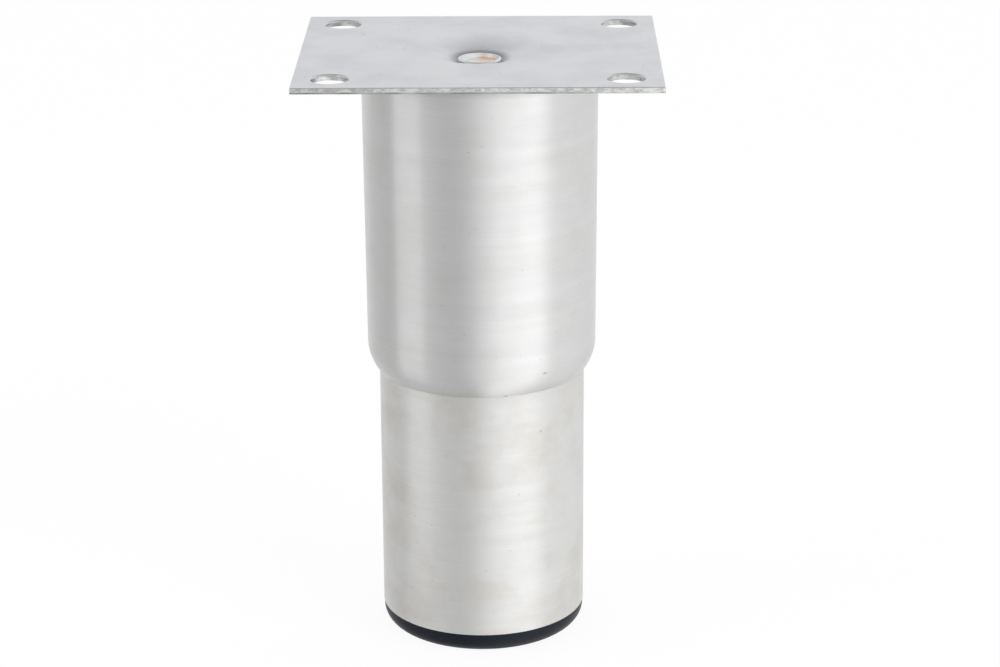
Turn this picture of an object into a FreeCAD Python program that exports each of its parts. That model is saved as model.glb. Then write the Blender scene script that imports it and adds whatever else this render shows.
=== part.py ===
import FreeCAD, Part
import math
import os
import Sketcher

# Adjustable support leg with a screw-on mounting plate.
#
# A rectangular sheet plate carries a tapered stainless shell. Shell and plate are dished together at the centre,
# and the riveted neck of a fixed screw clamps them there. A nut in the top of the inner tube runs on that
# screw, so the tube and its moulded foot move up and down as they are turned.
#
# Frame: millimetres, +Z up, origin on the floor at the centre of the foot. The leg stands at mid travel.

# Driving dimensions, in millimetres
SIZES = {
    "leg_height": 152.4,
    "plate_width": 88.9,
    "plate_depth": 76.2,
    "plate_thick": 1.5,
    "plate_corner": 0.5,
    "plate_edge": 0.3,
    "hole_dia": 9.0,
    "hole_edge": 0.6,
    "hole_margin": 9.0,
    "dish_dia": 36.0,
    "dish_depth": 3.0,
    "nest_gap": 0.02,
    "shell_length": 80.6,
    "shell_wall": 1.2,
    "shell_taper_depth": 0.4,
    "shell_corner": 4.0,
    "nose_radius": 11.0,
    "nose_gap": 0.2,
    "washer_dia": 23.5,
    "washer_thick": 3.0,
    "screw_dia": 16.0,
    "screw_chamfer": 1.5,
    "screw_tip_length": 2.6,
    "relief_dia": 13.2,
    "relief_length": 4.0,
    "neck_dia": 10.2,
    "neck_gap": 0.05,
    "rim_dia": 11.0,
    "rim_height": 0.9,
    "rim_radius": 0.45,
    "cup_dia": 8.8,
    "cup_flare": 0.4,
    "cup_depth": 1.2,
    "cup_corner": 0.3,
    "tube_dia": 52.4,
    "tube_wall": 1.2,
    "tube_length": 107.0,
    "tube_chamfer": 0.3,
    "foot_band": 5.5,
    "foot_corner": 4.2,
    "foot_step_depth": 0.15,
    "plug_length": 15.0,
    "plug_wall": 2.2,
    "plug_gap": 0.1,
    "fin_depth": 0.7,
    "fin_width": 1.0,
    "fin_pitch": 4.0,
    "fin_count": 3,
    "floor_thick": 3.2,
    "recess_dia": 30.0,
    "recess_depth": 0.8,
    "rib_thick": 1.8,
    "rib_height": 9.0,
    "hub_dia": 14.0,
    "rib_count": 8,
    "carrier_thick": 2.0,
    "carrier_overhang": 0.25,
    "carrier_skirt": 9.0,
    "carrier_bend": 2.5,
    "press_gap": 0.05,
    "nut_width": 24.0,
    "nut_height": 13.0,
    "thread_gap": 0.06,
    "nut_chamfer": 1.2,
    "nut_chamfer_slope": 30.0,
    "travel_length": 25.0,
    "stop_gap": 1.0,
    "stop_dia": 30.0,
    "stop_thick": 2.0,
    "clip_dia": 20.6,
    "clip_offset": 0.7,
    "clip_thick": 1.2,
    "clip_slot": 4.6,
    "clip_lug_dia": 5.0,
    "clip_hole_dia": 2.0,
    "clip_lug_gap": 4.9,
    "clip_lug_reach": 10.2,
    "groove_dia": 13.0,
    "groove_play": 0.05,
    "guide_space": 1.7,
    "guide_length": 10.0,
    "guide_lip": 1.0,
    "guide_gap": 0.2,
    "guide_play": 0.1,
    "guide_slit": 2.5,
    "run_gap": 0.3,
}

FULL_TURN = 360.0
HEXAGON = 6

# How near two lengths must be to count as the same, in millimetres
SAME = 1e-4

doc = FreeCAD.newDocument("support_leg")
sheet = doc.addObject("Spreadsheet::Sheet", "sizes")


def fill_sheet():
    """Writes each driving dimension to the sheet, its name beside its value."""
    for row, (name, value) in enumerate(SIZES.items(), start=1):
        sheet.set(f"A{row}", name)
        sheet.set(f"B{row}", str(value))
        sheet.setAlias(f"B{row}", name)
    doc.recompute()


def value_of(formula):
    """The number that a formula on the sheet's names gives now."""
    return float(sheet.evalExpression(formula))


def new_body(label, height=None):
    """A body named for its piece, its own zero raised to the height that a formula gives."""
    body = doc.addObject("PartDesign::Body", label)
    body.Label = label
    if height:
        body.setExpression("Placement.Base.z", height)
    return body


def new_sketch(body, name, role):
    """An empty sketch on one of the body's own origin planes."""
    plane = next(f for f in body.Origin.OriginFeatures if f.Role == role)
    sketch = body.newObject("Sketcher::SketchObject", name)
    sketch.AttachmentSupport = [(plane, "")]
    sketch.MapMode = "FlatFace"
    return sketch


def tie(sketch, kind, formula, *where):
    """Adds a sized constraint and binds it to the sheet."""
    at = sketch.addConstraint(Sketcher.Constraint(kind, *where, value_of(formula)))
    sketch.setExpression(f"Constraints[{at}]", formula)


def place(sketch, geometry, end, across, up):
    """Ties one end of a line or arc to a place measured from the sketch's origin."""
    if across == "0":
        sketch.addConstraint(Sketcher.Constraint("PointOnObject", geometry, end, -2))
    else:
        tie(sketch, "DistanceX", across, -1, 1, geometry, end)
    if up == "0":
        sketch.addConstraint(Sketcher.Constraint("PointOnObject", geometry, end, -1))
    else:
        tie(sketch, "DistanceY", up, -1, 1, geometry, end)


def arc_between(start, end, radius):
    """A short arc from start to end, its centre on the left, or on the right for a negative radius."""
    chord = end - start
    reach = math.sqrt(max(radius**2 - (chord.Length / 2) ** 2, 0.0))
    left = FreeCAD.Vector(-chord.y, chord.x, 0).normalize()
    centre = (start + end) / 2 + left * math.copysign(reach, radius)
    first, last = (start, end) if radius > 0 else (end, start)
    angles = [math.atan2(p.y - centre.y, p.x - centre.x) for p in (first, last)]
    circle = Part.Circle(centre, FreeCAD.Vector(0, 0, 1), abs(radius))
    return Part.ArcOfCircle(circle, *angles)


def draw(sketch, outline):
    """Draws a closed outline of corners (across, up) or (across, up, bend), each a formula.

    A bend is the radius of the arc that runs from that corner to the next, with a minus sign in front of
    it where the arc's centre is on the right. Without one a straight line runs there.
    """
    corners = [FreeCAD.Vector(value_of(c[0]), value_of(c[1]), 0) for c in outline]
    ends = []
    for n, corner in enumerate(outline):
        start, end = corners[n], corners[(n + 1) % len(corners)]
        if len(corner) == 2:
            geometry = sketch.addGeometry(Part.LineSegment(start, end), False)
            ends.append((geometry, 1, 2))
            continue
        turns_right = corner[2].startswith("-")
        radius = corner[2].lstrip("-")
        size = value_of(radius) * (-1 if turns_right else 1)
        geometry = sketch.addGeometry(arc_between(start, end, size), False)
        ends.append((geometry, 2, 1) if turns_right else (geometry, 1, 2))
        tie(sketch, "Radius", radius, geometry)
    for n, corner in enumerate(outline):
        geometry, start, _ = ends[n]
        before, _, stop = ends[n - 1]
        sketch.addConstraint(Sketcher.Constraint("Coincident", before, stop, geometry, start))
        place(sketch, geometry, start, corner[0], corner[1])


def circle(sketch, diameter, across="0", up="0"):
    """A circle of a bound diameter, its centre at a bound place."""
    middle = FreeCAD.Vector(value_of(across), value_of(up), 0)
    shape = Part.Circle(middle, FreeCAD.Vector(0, 0, 1), value_of(diameter) / 2)
    geometry = sketch.addGeometry(shape, False)
    tie(sketch, "Diameter", diameter, geometry)
    if across == "0" and up == "0":
        sketch.addConstraint(Sketcher.Constraint("Coincident", geometry, 3, -1, 1))
    else:
        place(sketch, geometry, 3, across, up)


def rectangle(sketch, left, right, low, high):
    """Draws a rectangle between four bound sides."""
    draw(sketch, [(left, low), (right, low), (right, high), (left, high)])


def turned(body, name, outline, kind="Revolution"):
    """Turns an outline round the body's Z axis, as added material or as a groove."""
    sketch = new_sketch(body, name + "_outline", "XZ_Plane")
    draw(sketch, outline)
    feature = body.newObject("PartDesign::" + kind, name)
    feature.Profile = sketch
    feature.ReferenceAxis = (sketch, ["V_Axis"])
    feature.Angle = FULL_TURN
    doc.recompute()
    return feature


def raised(body, name, sketch, length):
    """Pads a sketch upwards by a bound length."""
    pad = body.newObject("PartDesign::Pad", name)
    pad.Profile = sketch
    pad.setExpression("Length", length)
    doc.recompute()
    return pad


def cut_through(body, name, sketch):
    """Cuts a sketch right through the body, both ways."""
    pocket = body.newObject("PartDesign::Pocket", name)
    pocket.Profile = sketch
    pocket.Type = "ThroughAll"
    pocket.Midplane = True
    doc.recompute()
    return pocket


def edges_where(feature, test):
    """The names of a feature's edges that pass a test."""
    edges = feature.Shape.Edges
    return [f"Edge{n}" for n, edge in enumerate(edges, start=1) if test(edge)]


def is_ring(edge, radius, height):
    """Is the edge a full level circle of that radius at that height?"""
    curve = edge.Curve
    if not isinstance(curve, Part.Circle) or not edge.isClosed():
        return False
    return abs(curve.Radius - radius) < SAME and abs(curve.Center.z - height) < SAME


def dressed(body, kind, name, feature, edges, size_property, size):
    """Puts a fillet or chamfer of a bound size on named edges."""
    dressing = body.newObject("PartDesign::" + kind, name)
    dressing.Base = (feature, edges)
    dressing.setExpression(size_property, size)
    doc.recompute()
    return dressing


# The dish that plate, shell top and washer share: one arc that rolls over from the flat to the neck's hole
NECK_HOLE_RADIUS = "(sizes.neck_dia / 2 + sizes.neck_gap)"
DISH_RADIUS = "sizes.dish_dia / 2"
DISH_RUN = f"({DISH_RADIUS} - {NECK_HOLE_RADIUS})"
DISH_BEND = f"(({DISH_RUN} ^ 2 + sizes.dish_depth ^ 2) / (2 * sizes.dish_depth))"

# Levels of the clamped stack at the dish floor, measured down from the top of the plate
SHELL_TOP_DROP = "sizes.plate_thick + sizes.nest_gap"
WASHER_TOP_DROP = f"{SHELL_TOP_DROP} + sizes.shell_wall + sizes.nest_gap"
SHOULDER_DROP = f"{WASHER_TOP_DROP} + sizes.dish_depth + sizes.washer_thick + sizes.nest_gap"

# Levels and radii of the inner tube, and of the shell that leaves room round it for the guide ring
TUBE_TOP = "sizes.foot_band + sizes.tube_length"
TUBE_RADIUS = "sizes.tube_dia / 2"
TUBE_BORE_RADIUS = "sizes.tube_dia / 2 - sizes.tube_wall"
SHELL_BORE_RADIUS = f"({TUBE_RADIUS} + sizes.guide_space)"
SHELL_LOW_RADIUS = f"({SHELL_BORE_RADIUS} + sizes.shell_wall)"
SHELL_TOP_RADIUS = f"({SHELL_LOW_RADIUS} + sizes.shell_taper_depth)"

# Half the spacings of the plate's screw holes, and the radius to the nut's corners
HOLE_HALF_GAP_X = "(sizes.plate_width / 2 - sizes.hole_margin)"
HOLE_HALF_GAP_Y = "(sizes.plate_depth / 2 - sizes.hole_margin)"
NUT_CORNER_RADIUS = "(sizes.nut_width / sqrt(3))"
CARRIER_BASE = f"{TUBE_TOP} + sizes.guide_lip + 2 * sizes.guide_play"

# Levels of the stop at the screw's lower end, just past the nut's lowest place
SHOULDER = f"sizes.leg_height - ({SHOULDER_DROP})"
STOP_BASE = f"{CARRIER_BASE} - sizes.nut_height - sizes.travel_length - sizes.stop_gap - sizes.stop_thick"
CLIP_BASE = f"{STOP_BASE} - sizes.groove_play - sizes.clip_thick"
SCREW_END = f"{CLIP_BASE} - sizes.groove_play - sizes.screw_tip_length"


def dish_fall(radius):
    """How far the dish has dropped at a radius."""
    return f"({DISH_BEND} - sqrt({DISH_BEND} ^ 2 - ({DISH_RADIUS} - {radius}) ^ 2))"


def dished_rings(level, thickness):
    """Corners of a dished middle: down its upper side to the neck's hole, and back along its lower one."""
    return [
        (DISH_RADIUS, level, DISH_BEND),
        (NECK_HOLE_RADIUS, f"{level} - sizes.dish_depth"),
        (NECK_HOLE_RADIUS, f"{level} - {thickness} - sizes.dish_depth", "-" + DISH_BEND),
        (DISH_RADIUS, f"{level} - {thickness}"),
    ]


def mounting_plate():
    """Sheet with a dished centre and rolled-over screw holes, its zero at the lowest point of the dish."""
    body = new_body("mounting_plate", "sizes.leg_height - sizes.plate_thick - sizes.dish_depth")
    sketch = new_sketch(body, "plate_outline", "XY_Plane")
    sketch.setExpression("AttachmentOffset.Base.z", "sizes.dish_depth")
    half_x = "sizes.plate_width / 2"
    half_y = "sizes.plate_depth / 2"
    rectangle(sketch, f"-{half_x}", half_x, f"-{half_y}", half_y)
    circle(sketch, "sizes.dish_dia")
    raised(body, "plate_sheet", sketch, "sizes.plate_thick")

    top = "sizes.dish_depth + sizes.plate_thick"
    turned(body, "plate_dish", dished_rings(top, "sizes.plate_thick"))

    holes = new_sketch(body, "screw_hole_places", "XY_Plane")
    radius = value_of("sizes.hole_dia / 2")
    for n, (x, y) in enumerate(((-1, -1), (1, -1), (1, 1), (-1, 1))):
        middle = FreeCAD.Vector(x * value_of(HOLE_HALF_GAP_X), y * value_of(HOLE_HALF_GAP_Y), 0)
        holes.addGeometry(Part.Circle(middle, FreeCAD.Vector(0, 0, 1), radius), False)
        if n:
            holes.addConstraint(Sketcher.Constraint("Equal", 0, n))
    tie(holes, "Diameter", "sizes.hole_dia", 0)
    holes.addConstraint(Sketcher.Constraint("Symmetric", 0, 3, 2, 3, -1, 1))
    holes.addConstraint(Sketcher.Constraint("Symmetric", 1, 3, 3, 3, -1, 1))
    holes.addConstraint(Sketcher.Constraint("Horizontal", 0, 3, 1, 3))
    tie(holes, "DistanceX", f"2 * {HOLE_HALF_GAP_X}", 0, 3, 1, 3)
    tie(holes, "DistanceY", f"2 * {HOLE_HALF_GAP_Y}", 1, 3, 2, 3)
    drilled = cut_through(body, "screw_holes", holes)

    corners_at = edges_where(drilled, is_plate_corner)
    rounded = dressed(body, "Fillet", "plate_corners", drilled, corners_at, "Radius", "sizes.plate_corner")

    height = value_of(top)
    rims = edges_where(rounded, lambda edge: is_ring(edge, radius, height))
    rolled = dressed(body, "Fillet", "hole_edges", rounded, rims, "Radius", "sizes.hole_edge")

    def is_top_edge(edge):
        """Does the edge run round the outside of the plate's top?"""
        box = edge.BoundBox
        level = abs(box.ZMin - height) < SAME and abs(box.ZMax - height) < SAME
        at_side = max(abs(box.XMin), abs(box.XMax)) > value_of(half_x) - SAME
        at_front = max(abs(box.YMin), abs(box.YMax)) > value_of(half_y) - SAME
        return level and (at_side or at_front)

    edges = edges_where(rolled, is_top_edge)
    dressed(body, "Fillet", "plate_edges", rolled, edges, "Radius", "sizes.plate_edge")
    return body


def is_plate_corner(edge):
    """Does the edge run up through the sheet at one of the plate's four corners?"""
    box = edge.BoundBox
    upright = box.XLength < SAME and box.YLength < SAME
    return upright and abs(box.XMin) > value_of("sizes.plate_width / 2") - SAME


def outer_shell():
    """Drawn shell, closed and dished at the top and nosed in at the bottom, its zero at the nose's end."""
    drop = f"sizes.leg_height - ({SHELL_TOP_DROP}) - sizes.shell_length"
    body = new_body("outer_shell", drop)
    top = "sizes.shell_length"
    low = SHELL_LOW_RADIUS
    high = SHELL_TOP_RADIUS
    land = f"({TUBE_RADIUS} + sizes.nose_gap)"
    across = f"(sizes.nose_radius - {low} + {land})"
    rise = f"sqrt(sizes.nose_radius ^ 2 - {across} ^ 2)"
    inner_bend = "(sizes.nose_radius - sizes.shell_wall)"
    land_top = f"{rise} - sqrt({inner_bend} ^ 2 - {across} ^ 2)"
    outline = [
        (land, "0", "sizes.nose_radius"),
        (low, rise),
        (high, f"{top} - sizes.shell_corner", "sizes.shell_corner"),
        (f"{high} - sizes.shell_corner", top),
    ]
    outline += dished_rings(top, "sizes.shell_wall")
    outline += [
        (f"{high} - sizes.shell_corner", f"{top} - sizes.shell_wall"),
        (f"{high} - sizes.shell_wall", f"{top} - sizes.shell_corner"),
        (f"{low} - sizes.shell_wall", rise, "-" + inner_bend),
        (land, land_top),
    ]
    turned(body, "shell", outline)
    return body


def spreader_washer():
    """Thick dished washer that spreads the screw's load under the shell's top."""
    drop = f"sizes.leg_height - ({WASHER_TOP_DROP}) - sizes.dish_depth - sizes.washer_thick"
    body = new_body("spreader_washer", drop)
    edge = "sizes.washer_dia / 2"
    outline = [
        (edge, f"sizes.washer_thick + sizes.dish_depth - {dish_fall(edge)}", DISH_BEND),
        (NECK_HOLE_RADIUS, "sizes.washer_thick"),
        (NECK_HOLE_RADIUS, "0"),
        (edge, "0"),
    ]
    turned(body, "washer", outline)
    return body


def adjusting_screw():
    """Fixed screw whose hollow neck is riveted over in the plate's dish, its zero at its lower end."""
    body = new_body("adjusting_screw", SCREW_END)
    radius = "sizes.screw_dia / 2"
    neck = "sizes.neck_dia / 2"
    groove = "sizes.groove_dia / 2"
    groove_top = "sizes.screw_tip_length + 2 * sizes.groove_play + sizes.clip_thick"
    shoulder = f"{SHOULDER} - ({SCREW_END})"
    edge = "sizes.rim_dia / 2"
    rim = f"{shoulder} + {SHOULDER_DROP} - {dish_fall(edge)} + sizes.nest_gap"
    crest = f"{rim} + sizes.rim_height"
    cup = "sizes.cup_dia / 2"
    cup_floor = f"{crest} - sizes.cup_depth"
    outline = [
        ("0", "0"),
        (f"{radius} - sizes.screw_chamfer", "0"),
        (radius, "sizes.screw_chamfer"),
        (radius, "sizes.screw_tip_length"),
        (groove, "sizes.screw_tip_length"),
        (groove, groove_top),
        (radius, groove_top),
        (radius, f"{shoulder} - sizes.relief_length"),
        ("sizes.relief_dia / 2", f"{shoulder} - sizes.relief_length + sizes.screw_chamfer"),
        ("sizes.relief_dia / 2", shoulder),
        (neck, shoulder),
        (neck, rim),
        (edge, rim),
        (edge, f"{crest} - sizes.rim_radius", "sizes.rim_radius"),
        (f"{edge} - sizes.rim_radius", crest),
        (f"{cup} + sizes.cup_flare", crest),
        (cup, f"{cup_floor} + sizes.cup_corner", "-sizes.cup_corner"),
        (f"{cup} - sizes.cup_corner", cup_floor),
        ("0", cup_floor),
    ]
    turned(body, "screw", outline)
    return body


def stop_washer():
    """Flat washer on which the nut lands when the leg is at its longest."""
    body = new_body("stop_washer", STOP_BASE)
    sketch = new_sketch(body, "washer_section", "XY_Plane")
    circle(sketch, "sizes.stop_dia")
    circle(sketch, "sizes.screw_dia + 2 * sizes.guide_gap")
    raised(body, "washer", sketch, "sizes.stop_thick")
    return body


def retaining_clip():
    """Open ring in the screw's groove, wider at the back, with a holed lug at each end for pliers."""
    body = new_body("retaining_clip", CLIP_BASE)
    rim = new_sketch(body, "rim_outline", "XY_Plane")
    circle(rim, "sizes.clip_dia", "0", "-sizes.clip_offset")
    raised(body, "rim", rim, "sizes.clip_thick")
    lugs = new_sketch(body, "lug_outlines", "XY_Plane")
    holes = new_sketch(body, "lug_holes", "XY_Plane")
    for side in ("-", ""):
        across = f"{side}sizes.clip_lug_gap"
        circle(lugs, "sizes.clip_lug_dia", across, "sizes.clip_lug_reach")
        circle(holes, "sizes.clip_hole_dia", across, "sizes.clip_lug_reach")
    raised(body, "lugs", lugs, "sizes.clip_thick")
    cut_through(body, "plier_holes", holes)
    bore = new_sketch(body, "bore_outline", "XY_Plane")
    circle(bore, "sizes.groove_dia + 2 * sizes.groove_play")
    cut_through(body, "bore", bore)
    slot = new_sketch(body, "slot_outline", "XY_Plane")
    half = "sizes.clip_slot / 2"
    rectangle(slot, f"-{half}", half, "0", "sizes.clip_dia")
    cut_through(body, "slot", slot)
    return body


def inner_tube():
    """Straight tube that slides in the shell's nose."""
    body = new_body("inner_tube", "sizes.foot_band")
    sketch = new_sketch(body, "tube_section", "XY_Plane")
    circle(sketch, "sizes.tube_dia")
    circle(sketch, "sizes.tube_dia - 2 * sizes.tube_wall")
    tube = raised(body, "tube", sketch, "sizes.tube_length")
    radius = value_of(TUBE_RADIUS)
    bore = value_of(TUBE_BORE_RADIUS)
    top = value_of("sizes.tube_length")
    rings = edges_where(
        tube, lambda edge: is_ring(edge, radius, top) or is_ring(edge, bore, top) or is_ring(edge, bore, 0)
    )
    dressed(body, "Chamfer", "tube_ends", tube, rings, "Size", "sizes.tube_chamfer")
    return body


def nut_carrier():
    """Pressed cup that closes the tube's top and holds the nut, its zero at the underside of its disc."""
    body = new_body("nut_carrier", f"{CARRIER_BASE} - sizes.carrier_skirt")
    top = "sizes.carrier_skirt + sizes.carrier_thick"
    skirt = f"({TUBE_BORE_RADIUS} - sizes.press_gap)"
    inside = f"({skirt} - sizes.carrier_thick)"
    edge = f"{TUBE_RADIUS} + sizes.carrier_overhang"
    hole = "sizes.screw_dia / 2 + sizes.run_gap"
    outline = [
        (inside, "0"),
        (skirt, "0"),
        (skirt, "sizes.carrier_skirt"),
        (edge, "sizes.carrier_skirt"),
        (edge, top),
        (hole, top),
        (hole, "sizes.carrier_skirt"),
        (f"{inside} - sizes.carrier_bend", "sizes.carrier_skirt"),
        (inside, "sizes.carrier_skirt - sizes.carrier_bend"),
    ]
    turned(body, "carrier", outline)
    return body


def lifting_nut():
    """Hexagon nut under the carrier's disc, its corners chamfered at both ends."""
    body = new_body("lifting_nut", f"{CARRIER_BASE} - sizes.nut_height")
    sketch = new_sketch(body, "hexagon", "XY_Plane")
    corner = value_of(NUT_CORNER_RADIUS)
    points = [
        FreeCAD.Vector(corner * math.cos(a), corner * math.sin(a), 0)
        for a in (math.radians(FULL_TURN * n / HEXAGON) for n in range(HEXAGON))
    ]
    for n in range(HEXAGON):
        sketch.addGeometry(Part.LineSegment(points[n], points[(n + 1) % HEXAGON]), False)
    for n in range(HEXAGON):
        sketch.addConstraint(Sketcher.Constraint("Coincident", n, 2, (n + 1) % HEXAGON, 1))
    guide = sketch.addGeometry(Part.Circle(FreeCAD.Vector(), FreeCAD.Vector(0, 0, 1), corner), True)
    sketch.addConstraint(Sketcher.Constraint("Coincident", guide, 3, -1, 1))
    for n in range(HEXAGON):
        sketch.addConstraint(Sketcher.Constraint("PointOnObject", n, 1, guide))
        if n:
            sketch.addConstraint(Sketcher.Constraint("Equal", 0, n))
    sketch.addConstraint(Sketcher.Constraint("PointOnObject", 0, 1, -1))
    tie(sketch, "Radius", NUT_CORNER_RADIUS, guide)
    circle(sketch, "sizes.screw_dia + 2 * sizes.thread_gap")
    raised(body, "nut", sketch, "sizes.nut_height")
    point = f"({NUT_CORNER_RADIUS} + sizes.nut_chamfer)"
    flat = "sizes.nut_width / 2"
    slope = f"({point} - {flat}) * tan(sizes.nut_chamfer_slope)"
    turned(body, "upper_corners", [
        (flat, "sizes.nut_height"),
        (point, f"sizes.nut_height - {slope}"),
        (point, "sizes.nut_height"),
    ], "Groove")
    turned(body, "lower_corners", [(flat, "0"), (point, "0"), (point, slope)], "Groove")
    return body


def guide_ring():
    """Split ring that steadies the tube's top in the shell, held between tube end and carrier."""
    body = new_body("guide_ring", f"{TUBE_TOP} + sizes.guide_play + sizes.guide_lip - sizes.guide_length")
    outside = f"({SHELL_BORE_RADIUS} - sizes.run_gap)"
    inside = f"({TUBE_RADIUS} + sizes.guide_gap)"
    lip = f"({TUBE_BORE_RADIUS} + sizes.press_gap + sizes.guide_play)"
    outline = [
        (inside, "0"),
        (outside, "0"),
        (outside, "sizes.guide_length"),
        (lip, "sizes.guide_length"),
        (lip, "sizes.guide_length - sizes.guide_lip"),
        (inside, "sizes.guide_length - sizes.guide_lip"),
    ]
    turned(body, "ring", outline)
    slit = new_sketch(body, "slit_outline", "XY_Plane")
    rectangle(slit, "-sizes.guide_slit / 2", "sizes.guide_slit / 2", "0", f"{outside} + sizes.guide_slit")
    cut_through(body, "slit", slit)
    return body


def foot_cap():
    """Moulded foot: a rounded tread under the tube and a finned, ribbed plug inside it."""
    body = new_body("foot_cap")
    tread = f"({TUBE_RADIUS} - sizes.foot_step_depth)"
    bore = f"({TUBE_BORE_RADIUS} - sizes.plug_gap)"
    stem = f"({bore} - sizes.fin_depth)"
    inside = f"({stem} - sizes.plug_wall)"
    top = "sizes.foot_band + sizes.plug_length"
    outline = [
        ("0", "sizes.recess_depth"),
        ("sizes.recess_dia / 2", "sizes.recess_depth"),
        ("sizes.recess_dia / 2", "0"),
        (f"{tread} - sizes.foot_corner", "0", "sizes.foot_corner"),
        (tread, "sizes.foot_corner"),
        (tread, "sizes.foot_band"),
        (stem, "sizes.foot_band"),
    ]
    for n in range(SIZES["fin_count"]):
        start = f"sizes.foot_band + sizes.fin_pitch * {n + 1} - sizes.fin_width"
        outline += [
            (stem, start),
            (bore, f"{start} + sizes.fin_width / 2"),
            (stem, f"{start} + sizes.fin_width"),
        ]
    outline += [
        (stem, top),
        (inside, top),
        (inside, "sizes.recess_depth + sizes.floor_thick"),
        ("0", "sizes.recess_depth + sizes.floor_thick"),
    ]
    turned(body, "cap", outline)

    hub_sketch = new_sketch(body, "hub_outline", "XY_Plane")
    hub_sketch.setExpression("AttachmentOffset.Base.z", "sizes.recess_depth + sizes.floor_thick / 2")
    circle(hub_sketch, "sizes.hub_dia")
    raised(body, "hub", hub_sketch, "sizes.floor_thick / 2 + sizes.rib_height")

    rib_sketch = new_sketch(body, "rib_outline", "XY_Plane")
    rib_sketch.setExpression("AttachmentOffset.Base.z", "sizes.recess_depth + sizes.floor_thick / 2")
    side = "sizes.rib_thick / 2"
    rectangle(rib_sketch, "sizes.hub_dia / 4", f"{inside} + sizes.plug_wall / 2", f"-{side}", side)
    rib = raised(body, "rib", rib_sketch, "sizes.floor_thick / 2 + sizes.rib_height")
    ribs = body.newObject("PartDesign::PolarPattern", "ribs")
    ribs.Originals = [rib]
    ribs.Axis = (rib_sketch, ["N_Axis"])
    ribs.Angle = FULL_TURN
    ribs.setExpression("Occurrences", "sizes.rib_count")
    body.Tip = ribs
    doc.recompute()
    return body


def failures(pieces):
    """What is wrong with the document or with a piece's solid, as plain lines."""
    found = [
        f"{item.Name} is {state}"
        for item in doc.Objects
        for state in item.State
        if state in ("Invalid", "Error")
    ]
    for piece in pieces:
        shape = piece.Shape
        if shape.isNull() or not shape.isValid() or not shape.Solids:
            found.append(f"{piece.Label} has no valid solid")
    return found


def main():
    """Builds every piece, checks it and writes its STEP file."""
    fill_sheet()
    makers = (
        mounting_plate,
        outer_shell,
        spreader_washer,
        adjusting_screw,
        stop_washer,
        retaining_clip,
        guide_ring,
        nut_carrier,
        lifting_nut,
        inner_tube,
        foot_cap,
    )
    pieces = [make() for make in makers]
    doc.recompute()
    wrong = failures(pieces)
    if wrong:
        raise SystemExit("\n".join(wrong))
    os.makedirs("parts", exist_ok=True)
    for piece in pieces:
        piece.Shape.exportStep(f"parts/{piece.Label}.step")
        box = piece.Shape.BoundBox
        print(
            f"{piece.Label}: {len(piece.Shape.Solids)} solid, {piece.Shape.Volume:.1f} mm3,"
            f" z {box.ZMin:.2f} to {box.ZMax:.2f}, across {box.XLength:.2f} by {box.YLength:.2f}"
        )


main()
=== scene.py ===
"""The looks of an adjustable support leg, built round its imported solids.

A rectangular sheet plate sits on a drawn stainless shell, and a brushed inner tube on a moulded foot comes
out of the shell's nose. Each sub-assembly and each finish has a class of its own. Sizes are in millimetres
and turns in degrees, except where a docstring says otherwise.
"""
import logging
import math
from abc import ABC, abstractmethod
from dataclasses import dataclass, field
from enum import Enum

import bmesh
import bpy
from mathutils import Matrix, Vector


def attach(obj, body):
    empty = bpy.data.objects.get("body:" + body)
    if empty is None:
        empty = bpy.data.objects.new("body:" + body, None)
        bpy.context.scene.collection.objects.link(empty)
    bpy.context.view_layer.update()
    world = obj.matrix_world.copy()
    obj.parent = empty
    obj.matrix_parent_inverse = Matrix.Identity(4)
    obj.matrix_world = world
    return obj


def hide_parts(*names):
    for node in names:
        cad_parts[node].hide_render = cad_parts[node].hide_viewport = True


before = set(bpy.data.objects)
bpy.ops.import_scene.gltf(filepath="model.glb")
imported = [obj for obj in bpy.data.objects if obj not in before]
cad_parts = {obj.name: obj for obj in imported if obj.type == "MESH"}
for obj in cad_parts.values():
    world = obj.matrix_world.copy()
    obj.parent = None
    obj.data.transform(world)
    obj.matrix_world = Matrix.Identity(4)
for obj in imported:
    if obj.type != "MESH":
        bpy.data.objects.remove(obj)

MM = 0.001
LOG = logging.getLogger("support_leg")

# Edges that turn by more than this many degrees stay sharp
SHARP_TURN = 32.0

Point = tuple[float, float]
Place = tuple[float, float, float]
Colour = tuple[float, float, float, float]
Source = bpy.types.NodeSocket | bpy.types.Node


class Carrier(Enum):
    """The bodies of the leg that a piece of the scene moves with."""

    HOUSING = "housing"
    SLIDER = "slider"
    LEG = "leg"


class Slot(Enum):
    """Names of finishes for the plate, the shell and the tube, which nothing in this script uses."""

    PLATE = "plate_steel"
    SHELL = "shell_steel"
    TUBE = "tube_steel"


def linear(code: str) -> Colour:
    """Turns an sRGB hex colour to linear light.

    Args:
        code: Six hex digits after a hash sign.

    Returns:
        Red, green, blue and an alpha of 1.
    """
    values = [int(code[n:n + 2], 16) / 255 for n in (1, 3, 5)]
    red, green, blue = [v / 12.92 if v <= 0.04045 else ((v + 0.055) / 1.055) ** 2.4 for v in values]
    return (red, green, blue, 1.0)


def grey(value: float) -> Colour:
    """A linear grey of one value."""
    return (value, value, value, 1.0)


def per_length(*sizes: float) -> tuple[float, ...]:
    """The scale that makes a pattern's cells this long, in millimetres, along each axis."""
    return tuple(1 / (size * MM) for size in sizes)


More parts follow.
